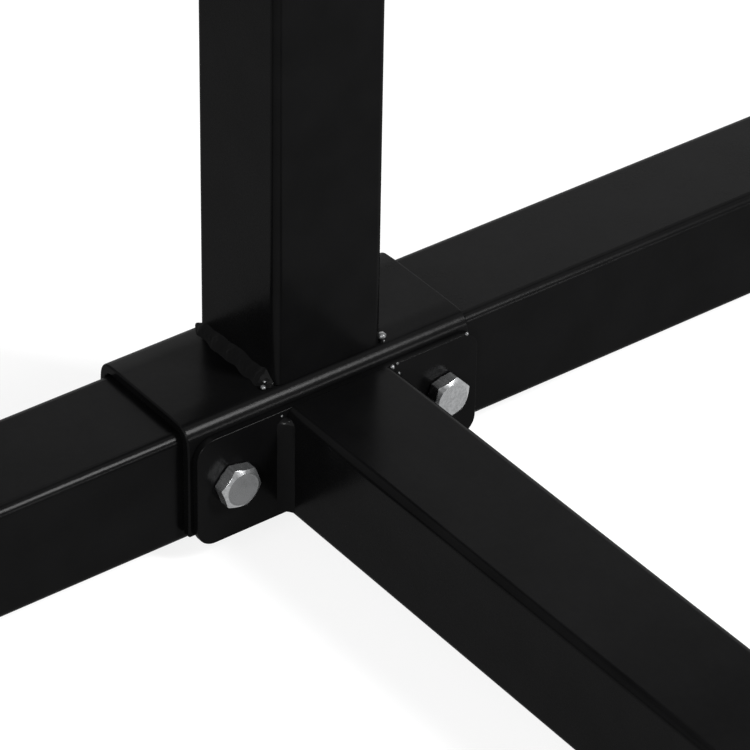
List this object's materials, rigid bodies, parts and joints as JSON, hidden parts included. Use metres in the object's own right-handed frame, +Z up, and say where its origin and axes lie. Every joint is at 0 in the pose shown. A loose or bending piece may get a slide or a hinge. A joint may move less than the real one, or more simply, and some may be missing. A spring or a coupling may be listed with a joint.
{
  "type": "freestanding kayak rack",
  "caption": "Freestanding kayak rack: black square-tube H base with saddle-bolted posts, two tiers of foam-padded upturned arms on both sides.",
  "frame": {"origin": "on the floor, midway between the two uprights and on the centre line of the posts", "axes": "+X along the kayaks and the beam, from the left to the right upright; +Y from the front to the back arms; +Z up"},
  "size_m": [1.285, 1.1086, 1.4526],
  "materials": {
    "powder_coat": "satin black powder coat",
    "zinc": "bright zinc plate",
    "foam": "matte closed-cell foam",
    "moulded_plastic": "matte moulded plastic"
  },
  "bodies": {
    "root": {"foot_left": "powder_coat", "foot_boot_left_front": "moulded_plastic", "foot_boot_left_back": "moulded_plastic", "saddle_left": "powder_coat", "beam_flange_left": "powder_coat", "post_left": "powder_coat", "post_cap_left": "moulded_plastic", "base_bolt_left_front": "zinc", "base_nut_left_front": "zinc", "base_bolt_left_back": "zinc", "base_nut_left_back": "zinc", "arm_left_lower_front": "powder_coat", "arm_sleeve_left_lower_front": "foam", "arm_left_lower_back": "powder_coat", "arm_sleeve_left_lower_back": "foam", "arm_bolt_left_lower_bottom": "zinc", "arm_nut_left_lower_bottom": "zinc", "arm_bolt_left_lower_top": "zinc", "arm_nut_left_lower_top": "zinc", "arm_left_upper_front": "powder_coat", "arm_sleeve_left_upper_front": "foam", "arm_left_upper_back": "powder_coat", "arm_sleeve_left_upper_back": "foam", "arm_bolt_left_upper_bottom": "zinc", "arm_nut_left_upper_bottom": "zinc", "arm_bolt_left_upper_top": "zinc", "arm_nut_left_upper_top": "zinc", "foot_right": "powder_coat", "foot_boot_right_front": "moulded_plastic", "foot_boot_right_back": "moulded_plastic", "saddle_right": "powder_coat", "beam_flange_right": "powder_coat", "post_right": "powder_coat", "post_cap_right": "moulded_plastic", "base_bolt_right_front": "zinc", "base_nut_right_front": "zinc", "base_bolt_right_back": "zinc", "base_nut_right_back": "zinc", "arm_right_lower_front": "powder_coat", "arm_sleeve_right_lower_front": "foam", "arm_right_lower_back": "powder_coat", "arm_sleeve_right_lower_back": "foam", "arm_bolt_right_lower_bottom": "zinc", "arm_nut_right_lower_bottom": "zinc", "arm_bolt_right_lower_top": "zinc", "arm_nut_right_lower_top": "zinc", "arm_right_upper_front": "powder_coat", "arm_sleeve_right_upper_front": "foam", "arm_right_upper_back": "powder_coat", "arm_sleeve_right_upper_back": "foam", "arm_bolt_right_upper_bottom": "zinc", "arm_nut_right_upper_bottom": "zinc", "arm_bolt_right_upper_top": "zinc", "arm_nut_right_upper_top": "zinc", "beam": "powder_coat"}
  },
  "joints": []
}
